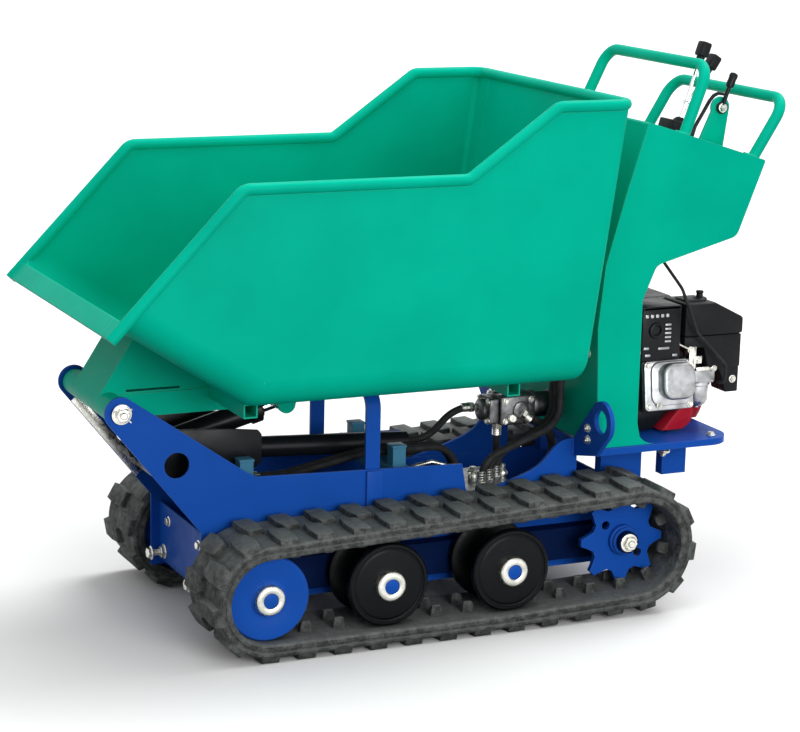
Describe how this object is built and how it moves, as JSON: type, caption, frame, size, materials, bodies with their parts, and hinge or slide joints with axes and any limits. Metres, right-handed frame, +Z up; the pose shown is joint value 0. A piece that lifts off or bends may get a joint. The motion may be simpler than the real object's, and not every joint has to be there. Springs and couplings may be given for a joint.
{
  "type": "walk-behind tracked site dumper with a front-tipping skip",
  "caption": "Walk-behind site dumper on rubber tracks: open skip that tips forward on a front hinge, tipping cylinder, rear console with handles and a small petrol engine.",
  "frame": {"origin": "on the ground, under the middle of the overall box", "axes": "+X forwards to the skip's lip, +Y to the machine's left, +Z up"},
  "size_m": [1.6082, 0.728, 1.2219],
  "materials": {
    "green_paint": "gloss",
    "blue_paint": "gloss",
    "black_paint": "satin",
    "teal_paint": "satin",
    "red_paint": "gloss",
    "rubber": "matte",
    "hose_rubber": "satin",
    "roller_black": "satin",
    "black_plastic": "satin",
    "cast_alloy": "satin",
    "dark_steel": "satin",
    "zinc": "satin",
    "chrome": "gloss"
  },
  "bodies": {
    "chassis": {"air_cleaner": "black_plastic", "carburettor": "cast_alloy", "chassis_belly": "blue_paint", "chassis_cross_bars": "teal_paint", "chassis_side_left": "blue_paint", "chassis_side_right": "blue_paint", "console_back": "green_paint", "console_front": "green_paint", "console_side_left": "green_paint", "console_side_right": "green_paint", "console_top": "green_paint", "control_levers": "black_plastic", "cylinder_anchor": "dark_steel", "drive_motors": "dark_steel", "engine_case": "cast_alloy", "engine_cylinder": "black_paint", "engine_platform": "blue_paint", "fan_housing": "red_paint", "fuel_tank": "black_paint", "handle_front": "green_paint", "handle_rear": "green_paint", "hinge_pin": "zinc", "hydraulic_hoses": "hose_rubber", "hydraulic_pump": "cast_alloy", "idlers": "blue_paint", "lifting_brackets": "blue_paint", "muffler": "dark_steel", "oil_reservoir": "black_paint", "rocker_cover": "cast_alloy", "skip_rest_hoop": "blue_paint", "sprockets": "blue_paint", "throttle_cable": "hose_rubber", "throttle_lever": "black_plastic", "track_frame_left": "blue_paint", "track_frame_right": "blue_paint", "track_left": "rubber", "track_right": "rubber", "track_rollers": "roller_black", "valve_block": "cast_alloy"},
    "skip": {"skip_back": "green_paint", "skip_cross_tubes": "green_paint", "skip_floor": "green_paint", "skip_hinge_bracket": "green_paint", "skip_rod_lug": "green_paint", "skip_side_left": "green_paint", "skip_side_right": "green_paint"},
    "barrel": {"cylinder_barrel": "black_paint"},
    "rod": {"cylinder_rod": "chrome"}
  },
  "joints": [
    {"name": "skip_tilt", "type": "hinge", "parent": "chassis", "child": "skip", "pos_m": [0.713, 0, 0.5], "axis": [0, 1, 0], "range_deg": [0, 70]},
    {"name": "cylinder_swing", "type": "hinge", "parent": "chassis", "child": "barrel", "pos_m": [0.593, 0, 0.381], "axis": [0, 1, 0], "range_deg": [0, 70.95]},
    {"name": "rod_slide", "type": "slide", "parent": "barrel", "child": "rod", "axis": [-0.9651, 0, 0.262], "range_m": [0, 0.1993]}
  ],
  "couplings": [
    {"joint": "cylinder_swing", "follows": "skip_tilt", "ratio": 1.0064},
    {"joint": "rod_slide", "follows": "skip_tilt", "m_per_rad": 0.16268}
  ]
}
